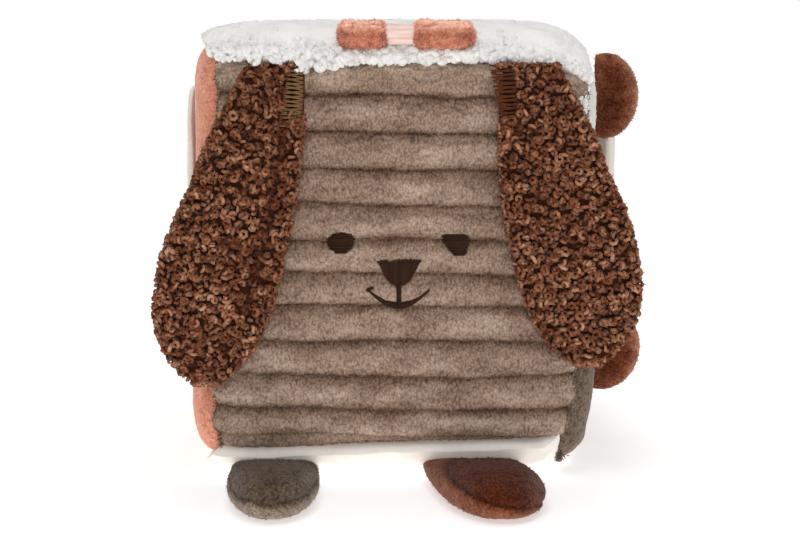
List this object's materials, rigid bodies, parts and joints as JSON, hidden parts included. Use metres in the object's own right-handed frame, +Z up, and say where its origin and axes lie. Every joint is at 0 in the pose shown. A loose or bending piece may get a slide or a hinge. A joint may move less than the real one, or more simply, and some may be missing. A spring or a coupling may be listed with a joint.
{
  "type": "soft fabric block",
  "caption": "Stuffed fabric activity block with a dog's face, floppy ears, feet, side paws and padded side pages, and a rattle inside.",
  "frame": {"origin": "middle of the flat on the bottom panel that the block rests on", "axes": "+Z up, -Y the way the face looks, +X towards the side with the paws"},
  "size_m": [0.1601, 0.1906, 0.1468],
  "materials": {
    "ribbed_plush": "wide ribbed plush",
    "white_sherpa": "curly fleece",
    "coral_velboa": "short pile plush",
    "taupe_velboa": "short pile plush",
    "white_cotton": "smooth cotton",
    "cream_cotton": "smooth cotton",
    "brown_curls": "curly boucle",
    "brown_velboa": "short pile plush",
    "pink_satin": "satin ribbon",
    "dark_thread": "satin stitch",
    "wadding": "polyester fibre",
    "foam": "soft foam",
    "rattle_plastic": "moulded",
    "rattle_metal": "polished"
  },
  "bodies": {
    "block": {"front_panel": "ribbed_plush", "top_panel": "white_sherpa", "left_panel": "coral_velboa", "right_panel": "taupe_velboa", "bottom_panel": "white_cotton", "back_panel": "cream_cotton", "stuffing_lower": "foam", "stuffing_upper": "foam", "rattle_shell_lower": "rattle_plastic", "rattle_shell_upper": "rattle_plastic", "left_eye": "dark_thread", "right_eye": "dark_thread", "nose": "dark_thread", "muzzle_line": "dark_thread", "smile_line": "dark_thread", "bow_left_loop": "coral_velboa", "bow_right_loop": "coral_velboa", "bow_band": "pink_satin"},
    "rattle_ball": {"rattle_ball": "rattle_metal"},
    "left_ear": {"left_ear_pile": "brown_curls", "left_ear_lining": "brown_velboa"},
    "right_ear": {"right_ear_pile": "brown_curls", "right_ear_lining": "brown_velboa"},
    "left_foot": {"left_foot_upper": "taupe_velboa", "left_foot_sole": "taupe_velboa", "left_foot_stuffing": "wadding"},
    "right_foot": {"right_foot_upper": "brown_velboa", "right_foot_sole": "brown_velboa", "right_foot_stuffing": "wadding"},
    "upper_paw": {"upper_paw_front": "brown_velboa", "upper_paw_back": "brown_velboa", "upper_paw_stuffing": "wadding"},
    "lower_paw": {"lower_paw_front": "brown_velboa", "lower_paw_back": "brown_velboa", "lower_paw_stuffing": "wadding"},
    "left_page": {"left_page_outer": "cream_cotton", "left_page_inner": "cream_cotton", "left_page_wadding": "wadding"},
    "right_page": {"right_page_outer": "cream_cotton", "right_page_inner": "cream_cotton", "right_page_wadding": "wadding"}
  },
  "joints": [
    {"name": "left_ear_flop", "type": "hinge", "parent": "block", "child": "left_ear", "pos_m": [-0.0375, -0.06771, 0.13258], "axis": [-1, 0, 0], "range_deg": [0, 120]},
    {"name": "right_ear_flop", "type": "hinge", "parent": "block", "child": "right_ear", "pos_m": [0.04037, -0.06765, 0.13252], "axis": [-1, 0, 0], "range_deg": [0, 120]},
    {"name": "left_foot_flap", "type": "hinge", "parent": "block", "child": "left_foot", "pos_m": [-0.03952, -0.06552, 0.00525], "axis": [-1, 0, 0], "range_deg": [-60, 20]},
    {"name": "right_foot_flap", "type": "hinge", "parent": "block", "child": "right_foot", "pos_m": [0.02327, -0.0656, 0.00517], "axis": [-1, 0, 0], "range_deg": [-60, 20]},
    {"name": "upper_paw_bend", "type": "hinge", "parent": "block", "child": "upper_paw", "pos_m": [0.06579, -0.03798, 0.12125], "axis": [0, 0, 1], "range_deg": [-30, 30]},
    {"name": "lower_paw_bend", "type": "hinge", "parent": "block", "child": "lower_paw", "pos_m": [0.06589, -0.03798, 0.03701], "axis": [0, 0, 1], "range_deg": [-30, 30]},
    {"name": "left_page_turn", "type": "hinge", "parent": "block", "child": "left_page", "pos_m": [-0.0647, 0.056, 0.07636], "axis": [0, 0, -1], "range_deg": [0, 110]},
    {"name": "right_page_turn", "type": "hinge", "parent": "block", "child": "right_page", "pos_m": [0.0647, 0.056, 0.07636], "axis": [0, 0, 1], "range_deg": [0, 110]},
    {"name": "rattle_ball_roll", "type": "slide", "parent": "block", "child": "rattle_ball", "axis": [0, 0, 1], "range_m": [0, 0.0158]}
  ]
}
